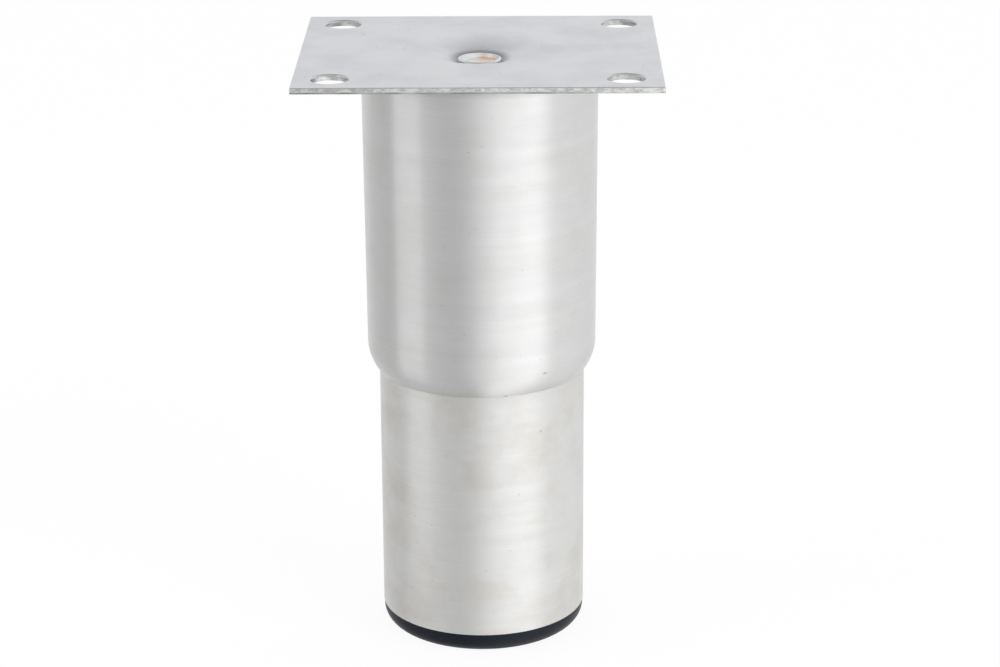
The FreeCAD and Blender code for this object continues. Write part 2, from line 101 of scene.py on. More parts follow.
def add_node(
    tree: bpy.types.NodeTree,
    kind: str,
    settings: dict[str | int, object] | None = None,
    links: dict[str | int, Source] | None = None,
) -> bpy.types.Node:
    """Adds one node to a tree.

    Args:
        tree: The node tree that gets it.
        kind: The node's type, without the words ShaderNode in front of it.
        settings: Values by name. The name or number of an input sets that input, "stops" sets the places and
            colours of a ramp, and any other name sets the node's own property.
        links: What feeds each input: a socket, or a node, whose first output in use is then taken.

    Returns:
        The new node.
    """
    node = tree.nodes.new("ShaderNode" + kind)
    for name, value in (settings or {}).items():
        if name == "stops":
            for place, _ in value[1:-1]:
                node.color_ramp.elements.new(place)
            for element, (place, colour) in zip(node.color_ramp.elements, value):
                element.position = place
                element.color = colour
        elif isinstance(name, int) or name in node.inputs:
            node.inputs[name].default_value = value
        else:
            setattr(node, name, value)
    for name, source in (links or {}).items():
        if isinstance(source, bpy.types.Node):
            source = next(output for output in source.outputs if output.enabled)
        tree.links.new(source, node.inputs[name])
    return node


def direct_view(tree: bpy.types.NodeTree) -> bpy.types.Node:
    """Tells rays that come straight from the camera, or through clear matter, from those that light things.

    Args:
        tree: The node tree that needs to know.

    Returns:
        A node that gives 1 for a direct ray and 0 for any other.
    """
    path = add_node(tree, "LightPath")
    rays = {0: path.outputs["Is Camera Ray"], 1: path.outputs["Is Transmission Ray"]}
    return add_node(tree, "Math", {"operation": "MAXIMUM"}, rays)


@dataclass(frozen=True)
class Finish(ABC):
    """A finish whose pattern lies in the piece's own coordinates, so that it moves with the piece."""

    name: str

    def build(self) -> bpy.types.Material:
        """Makes the material.

        Returns:
            The material, its output fed by the finish's own shader.
        """
        material = bpy.data.materials.new(self.name)
        material.use_nodes = True
        tree = material.node_tree
        tree.nodes.clear()
        place = add_node(tree, "TexCoord").outputs["Object"]
        add_node(tree, "OutputMaterial", links={"Surface": self.shade(tree, place)})
        return material

    @abstractmethod
    def shade(self, tree: bpy.types.NodeTree, place: bpy.types.NodeSocket) -> bpy.types.Node:
        """Adds the finish's own nodes.

        Args:
            tree: The material's node tree.
            place: The position on the piece, in metres.

        Returns:
            The shader node.
        """


@dataclass(frozen=True)
class BrushedStainless(Finish):
    """Stainless steel brushed while it turned, so fine lines run round it and highlights stretch along it."""

    colour: str
    stain: str
    stain_share: float
    roughness: float
    stretch: float
    bare: float = 1.0
    line_gap: float = 0.32
    line_length: float = 26.0
    nicks: tuple[Place, ...] = ()
    pit: str = "#8C8A86"
    nick: str = "#6A6762"

    def shade(self, tree: bpy.types.NodeTree, place: bpy.types.NodeSocket) -> bpy.types.Node:
        """Adds level brush lines, bands where the belt bore harder, and the soiled colour.

        Args:
            tree: The material's node tree.
            place: The position on the piece, in metres.

        Returns:
            The shader node.
        """
        # Real brush lines are about 0.1 mm apart; they are drawn coarser so that they show
        line_scale = per_length(self.line_length, self.line_length, self.line_gap)
        line_at = add_node(tree, "Mapping", {"Scale": line_scale}, {"Vector": place})
        lines = add_node(
            tree, "TexNoise", {"Scale": 1.0, "Detail": 4.0, "Roughness": 0.65}, {"Vector": line_at}
        )
        by_line = {
            "From Min": 0.25, "From Max": 0.75,
            "To Min": self.roughness - 0.04, "To Max": self.roughness + 0.05,
        }
        rough_lines = add_node(tree, "MapRange", by_line, {"Value": lines})
        # The belt bore harder in bands between 2 and 3 mm high
        band_at = add_node(tree, "Mapping", {"Scale": per_length(90.0, 90.0, 2.6)}, {"Vector": place})
        bands = add_node(tree, "TexNoise", {"Scale": 1.0, "Detail": 2.0}, {"Vector": band_at})
        by_band = {"From Min": 0.3, "From Max": 0.7, "To Min": -0.025, "To Max": 0.025}
        rough_bands = add_node(tree, "MapRange", by_band, {"Value": bands})
        rough = add_node(tree, "Math", {"operation": "ADD"}, {0: rough_lines, 1: rough_bands})
        relief = add_node(tree, "Bump", {"Strength": 0.1, "Distance": 0.02 * MM}, {"Height": lines})
        around = add_node(tree, "Tangent", {"direction_type": "RADIAL", "axis": "Z"})
        colour = self.nicked(tree, place, self.soiled(tree, place, lines))
        return add_node(
            tree,
            "BsdfPrincipled",
            {"Metallic": self.bare, "Anisotropic": self.stretch, "Anisotropic Rotation": 0.25},
            {"Base Color": colour, "Roughness": rough, "Normal": relief, "Tangent": around},
        )

    def soiled(
        self, tree: bpy.types.NodeTree, place: bpy.types.NodeSocket, lines: bpy.types.Node
    ) -> bpy.types.Node:
        """Adds the steel's colour, with soft stains, darker brush lines and specks.

        Args:
            tree: The material's node tree.
            place: The position on the piece, in metres.
            lines: The pattern of the brush lines.

        Returns:
            A node that gives the colour.
        """
        # Stains from hands are a finger's width across
        cloud_at = add_node(tree, "Mapping", {"Scale": per_length(14.0, 14.0, 11.0)}, {"Vector": place})
        cloud = add_node(
            tree, "TexNoise", {"Scale": 1.0, "Detail": 4.0, "Roughness": 0.6}, {"Vector": cloud_at}
        )
        spread = {"From Min": 0.46, "From Max": 0.72, "To Max": self.stain_share}
        stained = add_node(tree, "MapRange", spread, {"Value": cloud})
        clean = {"data_type": "RGBA", 6: linear(self.colour), 7: linear(self.stain)}
        base = add_node(tree, "Mix", clean, {"Factor": stained})
        dim = {"From Min": 0.3, "From Max": 0.7, "To Min": 0.93}
        streak = add_node(tree, "MapRange", dim, {"Value": lines})
        lined = add_node(
            tree, "Mix", {"data_type": "RGBA", "blend_type": "MULTIPLY", "Factor": 1.0}, {6: base, 7: streak}
        )
        # Pits in the metal are about a millimetre across and sparse
        pit_at = add_node(tree, "Mapping", {"Scale": per_length(1.6, 1.6, 0.9)}, {"Vector": place})
        pits = add_node(tree, "TexNoise", {"Scale": 1.0, "Detail": 1.0}, {"Vector": pit_at})
        sparse = {"From Min": 0.76, "From Max": 0.82, "To Max": 0.35}
        fleck = add_node(tree, "MapRange", sparse, {"Value": pits})
        pitted = {"data_type": "RGBA", 7: linear(self.pit)}
        return add_node(tree, "Mix", pitted, {"Factor": fleck, 6: lined})

    def nicked(
        self, tree: bpy.types.NodeTree, place: bpy.types.NodeSocket, colour: bpy.types.Node
    ) -> bpy.types.Node:
        """Darkens a colour at each nick, some 1.5 mm long and a third as high.

        Args:
            tree: The material's node tree.
            place: The position on the piece, in metres.
            colour: The colour without its nicks.

        Returns:
            A node that gives the colour.
        """
        squeeze = (1.0, 1.0, 3.0)
        for centre in self.nicks:
            start = tuple(-value * MM * grow for value, grow in zip(centre, squeeze))
            away = add_node(tree, "Mapping", {"Location": start, "Scale": squeeze}, {"Vector": place})
            reach = add_node(tree, "VectorMath", {"operation": "LENGTH"}, {0: away})
            soft = {"From Min": 0.15 * MM, "From Max": 0.8 * MM, "To Min": 0.7, "To Max": 0.0}
            dent = add_node(tree, "MapRange", soft, {"Value": reach})
            scored = {"data_type": "RGBA", 7: linear(self.nick)}
            colour = add_node(tree, "Mix", scored, {"Factor": dent, 6: colour})
        return colour


@dataclass(frozen=True)
class MilledSheet(Finish):
    """Cold-rolled stainless sheet with a soft satin mill finish, cut bright at its edge and darker along its
    low edge.
    """

    under: float
    half_width: float
    half_depth: float
    colour: str = "#E2E4E7"
    smudge: str = "#DBDDE1"
    cut: str = "#DCDCDB"
    pitted: str = "#B0B0AF"
    # Colour of the darker band along the low edge of the outer cut sides
    low_band: str = "#878685"
    scratch: str = "#A5A7AB"
    dirt: str = "#9A9C9F"
    # Colour of the painted shade in the crevice round the neck
    crevice_shade_colour: str = "#6F7274"
    roughness: float = 0.4

    def faces(
        self, tree: bpy.types.NodeTree, place: bpy.types.NodeSocket, cloud: bpy.types.Node
    ) -> bpy.types.Node:
        """Adds the colour of the rolled faces: soft smudges, rolling grain, a few scratches and specks.

        Args:
            tree: The material's node tree.
            place: The position on the sheet, in metres.
            cloud: The pattern of the smudges.

        Returns:
            A node that gives the colour.
        """
        smudged = add_node(tree, "MapRange", {"From Min": 0.42, "From Max": 0.7}, {"Value": cloud})
        clean = {"data_type": "RGBA", 6: linear(self.colour), 7: linear(self.smudge)}
        base = add_node(tree, "Mix", clean, {"Factor": smudged})
        # The sheet was rolled along X, and its grain is half a millimetre wide
        grain_at = add_node(tree, "Mapping", {"Scale": per_length(9.0, 0.5, 9.0)}, {"Vector": place})
        grain = add_node(
            tree, "TexNoise", {"Scale": 1.0, "Detail": 3.0, "Roughness": 0.6}, {"Vector": grain_at}
        )
        dim = {"From Min": 0.3, "From Max": 0.7, "To Min": 0.975}
        shade = add_node(tree, "MapRange", dim, {"Value": grain})
        grained = add_node(
            tree, "Mix", {"data_type": "RGBA", "blend_type": "MULTIPLY", "Factor": 1.0}, {6: base, 7: shade}
        )
        # Handling leaves short scratches across the grain and specks of dirt under a millimetre wide
        scratch_at = add_node(tree, "Mapping", {"Scale": per_length(0.8, 5.0, 5.0)}, {"Vector": place})
        scratches = add_node(tree, "TexNoise", {"Scale": 1.0, "Detail": 0.0}, {"Vector": scratch_at})
        scratched = add_node(
            tree, "MapRange", {"From Min": 0.8, "From Max": 0.84, "To Max": 0.16}, {"Value": scratches}
        )
        marked = add_node(
            tree, "Mix", {"data_type": "RGBA", 7: linear(self.scratch)}, {"Factor": scratched, 6: grained}
        )
        specks = add_node(tree, "TexNoise", {"Scale": 1 / (1.1 * MM), "Detail": 1.0}, {"Vector": place})
        sparse = {"From Min": 0.77, "From Max": 0.83, "To Max": 0.16}
        speck = add_node(tree, "MapRange", sparse, {"Value": specks})
        dirty = {"data_type": "RGBA", 7: linear(self.dirt)}
        return add_node(tree, "Mix", dirty, {"Factor": speck, 6: marked})

    def sides(
        self, tree: bpy.types.NodeTree, place: bpy.types.NodeSocket, patches: bpy.types.Node
    ) -> bpy.types.Node:
        """Adds the colour of the cut sides: a bright band with pits, and a darker band along the low edge.

        Args:
            tree: The material's node tree.
            place: The position on the sheet, in metres.
            patches: The pattern of the pits.

        Returns:
            A node that gives the colour.
        """
        at = add_node(tree, "SeparateXYZ", links={0: place})
        pits = add_node(tree, "MapRange", {"From Min": 0.4, "From Max": 0.62}, {"Value": patches})
        band = {"data_type": "RGBA", 6: linear(self.cut), 7: linear(self.pitted)}
        side = add_node(tree, "Mix", band, {"Factor": pits})
        ragged = {"From Min": 0.3, "From Max": 0.7, "To Min": -0.2 * MM, "To Max": 0.2 * MM}
        waver = add_node(tree, "MapRange", ragged, {"Value": patches})
        height = add_node(tree, "Math", {"operation": "ADD"}, {0: at.outputs["Z"], 1: waver})
        lip = {
            "From Min": (self.under + 0.2) * MM, "From Max": (self.under + 0.45) * MM,
            "To Min": 1.0, "To Max": 0.0,
        }
        low = add_node(tree, "MapRange", lip, {"Value": height})
        # The darker low band comes and goes every 8 mm or so, and fades between 22 and 31 mm to the right
        gap_at = add_node(tree, "TexNoise", {"Scale": 1 / (8.0 * MM), "Detail": 1.0}, {"Vector": place})
        broken = {"From Min": 0.35, "From Max": 0.6, "To Min": 0.4}
        gaps = add_node(tree, "MapRange", broken, {"Value": gap_at})
        blunt = {"From Min": 22.0 * MM, "From Max": 31.0 * MM, "To Min": 1.0, "To Max": 0.15}
        right = add_node(tree, "MapRange", blunt, {"Value": at.outputs["X"]})
        along = add_node(tree, "Math", {"operation": "MULTIPLY"}, {0: gaps, 1: right})
        broken_low_band = add_node(tree, "Math", {"operation": "MULTIPLY"}, {0: low, 1: along})
        low_band_share = add_node(tree, "Math", {"operation": "MULTIPLY"}, {0: broken_low_band, 1: self.outline(tree, at)})
        low_band_mix = {"data_type": "RGBA", 7: linear(self.low_band)}
        return add_node(tree, "Mix", low_band_mix, {"Factor": low_band_share, 6: side})

    def outline(self, tree: bpy.types.NodeTree, at: bpy.types.Node) -> bpy.types.Node:
        """Finds the sheet's outline, so that the darker low band stays off the punched holes.

        Args:
            tree: The material's node tree.
            at: The position on the sheet, split to X, Y and Z.

        Returns:
            A node that gives 1 within a millimetre of the outline and 0 further in.
        """
        past = []
        for axis, half in (("X", self.half_width), ("Y", self.half_depth)):
            near = add_node(tree, "Math", {"operation": "ABSOLUTE"}, {0: at.outputs[axis]})
            beyond = {"operation": "GREATER_THAN", 1: (half - 1.0) * MM}
            past.append(add_node(tree, "Math", beyond, {0: near}))
        return add_node(tree, "Math", {"operation": "MAXIMUM"}, {0: past[0], 1: past[1]})

    def shade(self, tree: bpy.types.NodeTree, place: bpy.types.NodeSocket) -> bpy.types.Node:
        """Adds the rolled faces, the cut sides and a painted shade in the dish's crevice round the neck.

        Args:
            tree: The material's node tree.
            place: The position on the piece, in metres.

        Returns:
            The shader node.
        """
        # Smudges from handling are about 12 mm across
        cloud = add_node(
            tree, "TexNoise", {"Scale": 1 / (12.0 * MM), "Detail": 4.0, "Roughness": 0.55}, {"Vector": place}
        )
        # Tearing under the blade leaves pits 1 to 2 mm long
        patch_at = add_node(tree, "Mapping", {"Scale": per_length(1.7, 1.7, 0.8)}, {"Vector": place})
        patches = add_node(
            tree, "TexNoise", {"Scale": 1.0, "Detail": 4.0, "Roughness": 0.7}, {"Vector": patch_at}
        )
        facing = add_node(tree, "SeparateXYZ", links={0: add_node(tree, "NewGeometry").outputs["Normal"]})
        upright = add_node(tree, "Math", {"operation": "ABSOLUTE"}, {0: facing.outputs["Z"]})
        turned = {"From Min": 0.25, "From Max": 0.65, "To Min": 1.0, "To Max": 0.0}
        side = add_node(tree, "MapRange", turned, {"Value": upright})
        rolled = self.faces(tree, place, cloud)
        cut = self.sides(tree, place, patches)
        sheet = add_node(tree, "Mix", {"data_type": "RGBA"}, {"Factor": side, 6: rolled, 7: cut})
        satin = {
            "From Min": 0.35, "From Max": 0.7,
            "To Min": self.roughness - 0.01, "To Max": self.roughness + 0.025,
        }
        smooth = add_node(tree, "MapRange", satin, {"Value": cloud})
        rough = add_node(tree, "Mix", {"B": 0.36}, {"Factor": side, "A": smooth})
        depth = add_node(tree, "Math", {"operation": "MULTIPLY"}, {0: patches, 1: side})
        relief = add_node(tree, "Bump", {"Strength": 0.5, "Distance": 0.15 * MM}, {"Height": depth})
        links = {"Base Color": self.paint_crevice_shade(tree, place, sheet), "Roughness": rough, "Normal": relief}
        return add_node(tree, "BsdfPrincipled", {"Metallic": 1.0}, links)

    def paint_crevice_shade(
        self, tree: bpy.types.NodeTree, place: bpy.types.NodeSocket, sheet: bpy.types.Node
    ) -> bpy.types.Node:
        """Paints shade into a colour in the crevice round the rolled neck, darkest behind it.

        Args:
            tree: The material's node tree.
            place: The position on the sheet, in metres.
            sheet: The colour of the sheet without its painted shade.

        Returns:
            A node that gives the colour.
        """
        # Painted shade: the colour darkens within about 8 mm of the neck, most behind it, standing in for
        # shadow in the crevice
        flat = add_node(tree, "VectorMath", {"operation": "MULTIPLY", 1: (1.0, 1.0, 0.0)}, {0: place})
        radius = add_node(tree, "VectorMath", {"operation": "LENGTH"}, {0: flat})
        ring = {"From Min": 6.2 * MM, "From Max": 8.2 * MM, "To Min": 1.0, "To Max": 0.0}
        crevice = add_node(tree, "MapRange", ring, {"Value": radius})
        at = add_node(tree, "SeparateXYZ", links={0: place})
        uneven = {"From Min": 0.0, "From Max": 5.0 * MM, "To Min": 0.5, "To Max": 0.92}
        behind = add_node(tree, "MapRange", uneven, {"Value": at.outputs["Y"]})
        share = add_node(tree, "Math", {"operation": "MULTIPLY"}, {0: crevice, 1: behind})
        painted_shade = {"data_type": "RGBA", 7: linear(self.crevice_shade_colour)}
        return add_node(tree, "Mix", painted_shade, {"Factor": share, 6: sheet})


@dataclass(frozen=True)
class RivetedScrewSteel(Finish):
    """Turned carbon steel, burnished where its neck was rolled over, with copper left in the neck's cup."""

    cup_radius: float
    cup_level: float
    shank_radius: float
    pitch: float
    thread_depth: float = 1.2
    steel: str = "#E6E8E9"
    copper: str = "#EED9CA"
    pale_left: str = "#DDE0DE"
    brown: str = "#A98770"

    def shade(self, tree: bpy.types.NodeTree, place: bpy.types.NodeSocket) -> bpy.types.Node:
        """Adds bright steel with turning marks and a thread, and a dull floor in the neck's cup.

        Args:
            tree: The material's node tree.
            place: The position on the piece, in metres.

        Returns:
            The shader node.
        """
        at = add_node(tree, "SeparateXYZ", links={0: place})
        flat = add_node(tree, "VectorMath", {"operation": "MULTIPLY", 1: (1.0, 1.0, 0.0)}, {0: place})
        radius = add_node(tree, "VectorMath", {"operation": "LENGTH"}, {0: flat})
        # Turning marks are 0.1 mm apart; they are drawn 1.3 mm apart so that they show
        per_mark = 2 * math.pi / (1.3 * MM)
        turns = add_node(tree, "Math", {"operation": "MULTIPLY", 1: per_mark}, {0: radius})
        rings = add_node(tree, "Math", {"operation": "SINE"}, {0: turns})
        stain = add_node(
            tree, "TexNoise", {"Scale": 1 / (3.0 * MM), "Detail": 3.0, "Roughness": 0.6}, {"Vector": place}
        )
        cup = self.in_cup(tree, at, radius)
        bare = {"data_type": "RGBA", 6: linear(self.steel)}
        colour = add_node(tree, "Mix", bare, {"Factor": cup, 7: self.blush(tree, at, rings, stain)})
        dull = {"From Min": 0.3, "From Max": 0.7, "To Min": 0.28, "To Max": 0.4}
        rough = add_node(tree, "MapRange", dull, {"Value": stain})
        # What the punch left in the cup is a dull film, which scatters half of the light
        film = add_node(tree, "MapRange", {"To Min": 1.0, "To Max": 0.45}, {"Value": cup})
        marked = add_node(tree, "Bump", {"Strength": 0.08, "Distance": 0.02 * MM}, {"Height": rings})
        # The thread's wave runs as far below the shank's face as above it
        cut = {"Distance": self.thread_depth / 2 * MM}
        relief = add_node(tree, "Bump", cut, {"Height": self.thread(tree, at, radius), "Normal": marked})
        links = {"Base Color": colour, "Metallic": film, "Roughness": rough, "Normal": relief}
        return add_node(tree, "BsdfPrincipled", links=links)

    def blush(
        self, tree: bpy.types.NodeTree, at: bpy.types.Node, rings: bpy.types.Node, stain: bpy.types.Node
    ) -> bpy.types.Node:
        """Adds the colour of the cup's floor: copper on the right, paler on the left.

        Args:
            tree: The material's node tree.
            at: The position on the piece, split to X, Y and Z.
            rings: The pattern of the turning marks.
            stain: The pattern of the stains.

        Returns:
            A node that gives the colour.
        """
        # Paler on the left and copper on the right, changing across X from -1.2 to 0.8 mm
        rubbed = {"From Min": -1.2 * MM, "From Max": 0.8 * MM}
        across = add_node(tree, "MapRange", rubbed, {"Value": at.outputs["X"]})
        halves = {"data_type": "RGBA", 6: linear(self.pale_left), 7: linear(self.copper)}
        blush = add_node(tree, "Mix", halves, {"Factor": across})
        cut = {"From Min": 0.1, "From Max": 0.9, "To Max": 0.7}
        groove = add_node(tree, "MapRange", cut, {"Value": rings})
        marks = add_node(tree, "Math", {"operation": "MULTIPLY"}, {0: groove, 1: across})
        grooved = {"data_type": "RGBA", 7: linear(self.brown)}
        worn = add_node(tree, "Mix", grooved, {"Factor": marks, 6: blush})
        patchy = {"From Min": 0.3, "From Max": 0.7, "To Max": 0.5}
        bright = add_node(tree, "MapRange", patchy, {"Value": stain})
        return add_node(tree, "Mix", {"data_type": "RGBA"}, {"Factor": bright, 6: worn, 7: blush})

    def in_cup(self, tree: bpy.types.NodeTree, at: bpy.types.Node, radius: bpy.types.Node) -> bpy.types.Node:
        """Finds the cup's floor and the foot of its wall.

        Args:
            tree: The material's node tree.
            at: The position on the piece, split to X, Y and Z.
            radius: The distance from the screw's axis.

        Returns:
            A node that gives 1 in the cup and 0 elsewhere, with soft edges.
        """
        within = {
            "From Min": (self.cup_radius + 0.15) * MM, "From Max": (self.cup_radius + 0.35) * MM,
            "To Min": 1.0, "To Max": 0.0,
        }
        inside = add_node(tree, "MapRange", within, {"Value": radius})
        below = {
            "From Min": (self.cup_level + 0.45) * MM, "From Max": (self.cup_level + 0.7) * MM,
            "To Min": 1.0, "To Max": 0.0,
        }
        low = add_node(tree, "MapRange", below, {"Value": at.outputs["Z"]})
        above = {"From Min": (self.cup_level - 1.0) * MM, "From Max": (self.cup_level - 0.5) * MM}
        high = add_node(tree, "MapRange", above, {"Value": at.outputs["Z"]})
        level = add_node(tree, "Math", {"operation": "MULTIPLY"}, {0: low, 1: high})
        return add_node(tree, "Math", {"operation": "MULTIPLY"}, {0: inside, 1: level})

    def thread(self, tree: bpy.types.NodeTree, at: bpy.types.Node, radius: bpy.types.Node) -> bpy.types.Node:
        """Adds the right-hand thread on the shank.

        Args:
            tree: The material's node tree.
            at: The position on the piece, split to X, Y and Z.
            radius: The distance from the screw's axis.

        Returns:
            A node that gives the thread's height, from -1 in its root to 1 at its crest.
        """
        per_turn = {"operation": "MULTIPLY", 1: 2 * math.pi / (self.pitch * MM)}
        climb = add_node(tree, "Math", per_turn, {0: at.outputs["Z"]})
        around = add_node(tree, "Math", {"operation": "ARCTAN2"}, {0: at.outputs["Y"], 1: at.outputs["X"]})
        phase = add_node(tree, "Math", {"operation": "SUBTRACT"}, {0: climb, 1: around})
        wave = add_node(tree, "Math", {"operation": "SINE"}, {0: phase})
        shank = {"From Min": (self.shank_radius - 0.6) * MM, "From Max": (self.shank_radius - 0.3) * MM}
        threaded = add_node(tree, "MapRange", shank, {"Value": radius})
        return add_node(tree, "Math", {"operation": "MULTIPLY"}, {0: wave, 1: threaded})


@dataclass(frozen=True)
class CoatedSteel(Finish):
    """Small steel hardware with a thin coat, slightly mottled where the coat is thicker."""

    colour: str
    mottle: str
    roughness: float
    metallic: float = 1.0

    def shade(self, tree: bpy.types.NodeTree, place: bpy.types.NodeSocket) -> bpy.types.Node:
        """Adds the coat's clouds, about 4 mm across, and its fine crystals.

        Args:
            tree: The material's node tree.
            place: The position on the piece, in metres.

        Returns:
            The shader node.
        """
        cloud = add_node(
            tree, "TexNoise", {"Scale": 1 / (4.0 * MM), "Detail": 4.0, "Roughness": 0.6}, {"Vector": place}
        )
        # Real crystals are a few hundredths of a millimetre; they are drawn coarser so that they show
        crystals = add_node(tree, "TexNoise", {"Scale": 1 / (0.3 * MM), "Detail": 2.0}, {"Vector": place})
        thick = add_node(tree, "MapRange", {"From Min": 0.35, "From Max": 0.65}, {"Value": cloud})
        coat = {"data_type": "RGBA", 6: linear(self.colour), 7: linear(self.mottle)}
        colour = add_node(tree, "Mix", coat, {"Factor": thick})
        dull = {
            "From Min": 0.3, "From Max": 0.7,
            "To Min": self.roughness - 0.05, "To Max": self.roughness + 0.08,
        }
        rough = add_node(tree, "MapRange", dull, {"Value": cloud})
        relief = add_node(tree, "Bump", {"Strength": 0.15, "Distance": 0.02 * MM}, {"Height": crystals})
        return add_node(
            tree,
            "BsdfPrincipled",
            {"Metallic": self.metallic},
            {"Base Color": colour, "Roughness": rough, "Normal": relief},
        )


@dataclass(frozen=True)
class MouldedPlastic(Finish):
    """Injection-moulded plastic with the fine spark-eroded grain of its mould."""

    colour: str
    scuff: str
    roughness: float
    specular: float = 0.5
    see_in: float = 0.0

    def shade(self, tree: bpy.types.NodeTree, place: bpy.types.NodeSocket) -> bpy.types.Node:
        """Adds the mould's grain, and level rubbing that is paler and duller.

        Args:
            tree: The material's node tree.
            place: The position on the piece, in metres.

        Returns:
            The shader node.
        """
        # The grain of a spark-eroded mould is about 0.1 mm; it is drawn coarser so that it shows
        mould = add_node(
            tree, "TexNoise", {"Scale": 1 / (0.25 * MM), "Detail": 2.0, "Roughness": 0.6}, {"Vector": place}
        )
        # The piece was rubbed as it turned, in bands under 2 mm high
        rub_at = add_node(tree, "Mapping", {"Scale": per_length(9.0, 9.0, 1.6)}, {"Vector": place})
        rubbed = add_node(
            tree, "TexNoise", {"Scale": 1.0, "Detail": 5.0, "Roughness": 0.65}, {"Vector": rub_at}
        )
        sparse = {"From Min": 0.52, "From Max": 0.75, "To Max": 0.5}
        wear = add_node(tree, "MapRange", sparse, {"Value": rubbed})
        clean = {"data_type": "RGBA", 6: linear(self.colour), 7: linear(self.scuff)}
        colour = add_node(tree, "Mix", clean, {"Factor": wear})
        satin = {
            "From Min": 0.35, "From Max": 0.7,
            "To Min": self.roughness - 0.04, "To Max": self.roughness + 0.12,
        }
        rough = add_node(tree, "MapRange", satin, {"Value": rubbed})
        relief = add_node(tree, "Bump", {"Strength": 0.2, "Distance": 0.03 * MM}, {"Height": mould})
        return add_node(
            tree,
            "BsdfPrincipled",
            {
                "IOR": 1.53,
                "Specular IOR Level": self.specular,
                "Subsurface Weight": self.see_in,
                "Subsurface Radius": (MM, MM, MM),
            },
            {"Base Color": colour, "Roughness": rough, "Normal": relief},
        )


@dataclass(frozen=True)
class SeamlessPaper(Finish):
    """White paper that looks nearly white to the camera and keeps a soft shadow."""

    def shade(self, tree: bpy.types.NodeTree, place: bpy.types.NodeSocket) -> bpy.types.Node:
        """Adds matte paper with a fine tooth, lifted almost to white where the camera sees it.

        Args:
            tree: The material's node tree.
            place: The position on the paper, in metres.

        Returns:
            The shader node.
        """
        tooth = add_node(tree, "TexNoise", {"Scale": 1 / (0.6 * MM), "Detail": 2.0}, {"Vector": place})
        pale = {"From Min": 0.3, "From Max": 0.7, "To Min": 0.86, "To Max": 0.9}
        shade = add_node(tree, "MapRange", pale, {"Value": tooth})
        matte = add_node(tree, "BsdfDiffuse", links={"Color": shade})
        white = add_node(tree, "Emission", {"Color": grey(1.0), "Strength": 1.0})
        # The paper brightens from 250 mm outwards, until it runs into the white behind it
        fade = {"From Min": 250.0 * MM, "From Max": 1500.0 * MM, "To Min": 0.93}
        away = add_node(tree, "VectorMath", {"operation": "LENGTH"}, {0: place})
        lift = add_node(tree, "MapRange", fade, {"Value": away})
        lifted = add_node(tree, "MixShader", links={0: lift, 1: matte, 2: white})
        return add_node(tree, "MixShader", links={0: direct_view(tree), 1: matte, 2: lifted})


@dataclass(frozen=True)
class GlowingCard(Finish):
    """White card so evenly lit that it counts as a source of light."""

    def shade(self, tree: bpy.types.NodeTree, place: bpy.types.NodeSocket) -> bpy.types.Node:
        """Adds plain white light."""
        return add_node(tree, "Emission", {"Color": grey(1.0), "Strength": 1.0})


@dataclass
class MeshMaker:
    """Collects rings of points and the faces between them, in millimetres, and makes one object of them."""

    mesh: bmesh.types.BMesh = field(default_factory=bmesh.new)

    def ring(self, points: list[Place]) -> list[bmesh.types.BMVert]:
        """Adds a ring of points, given in order and in millimetres."""
        return [self.mesh.verts.new(Vector(point) * MM) for point in points]

    def skin(self, rings: list[list[bmesh.types.BMVert]]) -> None:
        """Joins each ring to the next by a smooth band of faces.

        Args:
            rings: Rings of the same count, in order.
        """
        for first, second in zip(rings, rings[1:]):
            for n in range(len(first)):
                m = (n + 1) % len(first)
                self.mesh.faces.new((first[n], first[m], second[m], second[n])).smooth = True

    def cap(self, ring: list[bmesh.types.BMVert]) -> None:
        """Closes a ring with one flat face."""
        self.mesh.faces.new(ring)

    def sheet(self, rings: list[list[bmesh.types.BMVert]]) -> None:
        """Fills the flat space between an outer ring and the rings inside it.

        Args:
            rings: All the rings that bound the space.
        """
        edges = []
        for ring in rings:
            for n, vertex in enumerate(ring):
                other = ring[(n + 1) % len(ring)]
                edges.append(self.mesh.edges.get((vertex, other)) or self.mesh.edges.new((vertex, other)))
        bmesh.ops.triangle_fill(self.mesh, use_beauty=True, use_dissolve=False, edges=edges)

    def finish(self, name: str, material: bpy.types.Material) -> bpy.types.Object:
        """Turns what was collected to an object, with its sharp edges marked.

        Args:
            name: The object's name.
            material: The one material that it has.

        Returns:
            The new object, linked to the scene.
        """
        bmesh.ops.recalc_face_normals(self.mesh, faces=self.mesh.faces)
        limit = math.radians(SHARP_TURN)
        for edge in self.mesh.edges:
            edge.smooth = len(edge.link_faces) != 2 or edge.calc_face_angle(0.0) < limit
        data = bpy.data.meshes.new(name)
        self.mesh.to_mesh(data)
        self.mesh.free()
        data.materials.append(material)
        made = bpy.data.objects.new(name, data)
        bpy.context.scene.collection.objects.link(made)
        return made


def arc(centre: Point, radius: float, start: float, end: float, steps: int = 8) -> list[Point]:
    """Points on an arc.

    Args:
        centre: The arc's centre, across and up.
        radius: The arc's radius.
        start: The first angle, in degrees from the across axis.
        end: The last angle, in degrees.
        steps: How many chords the arc has.

    Returns:
        The points, both ends included.
    """
    angles = [math.radians(start + (end - start) * n / steps) for n in range(steps + 1)]
    return [(centre[0] + radius * math.cos(a), centre[1] + radius * math.sin(a)) for a in angles]


def circle(centre: Point, radius: float, height: float, steps: int) -> list[Place]:
    """Points of a level circle.

    Args:
        centre: The circle's centre.
        radius: Its radius.
        height: Its height.
        steps: How many chords it has.

    Returns:
        The points, counterclockwise from above.
    """
    angles = [2 * math.pi * n / steps for n in range(steps)]
    return [(centre[0] + radius * math.cos(a), centre[1] + radius * math.sin(a), height) for a in angles]


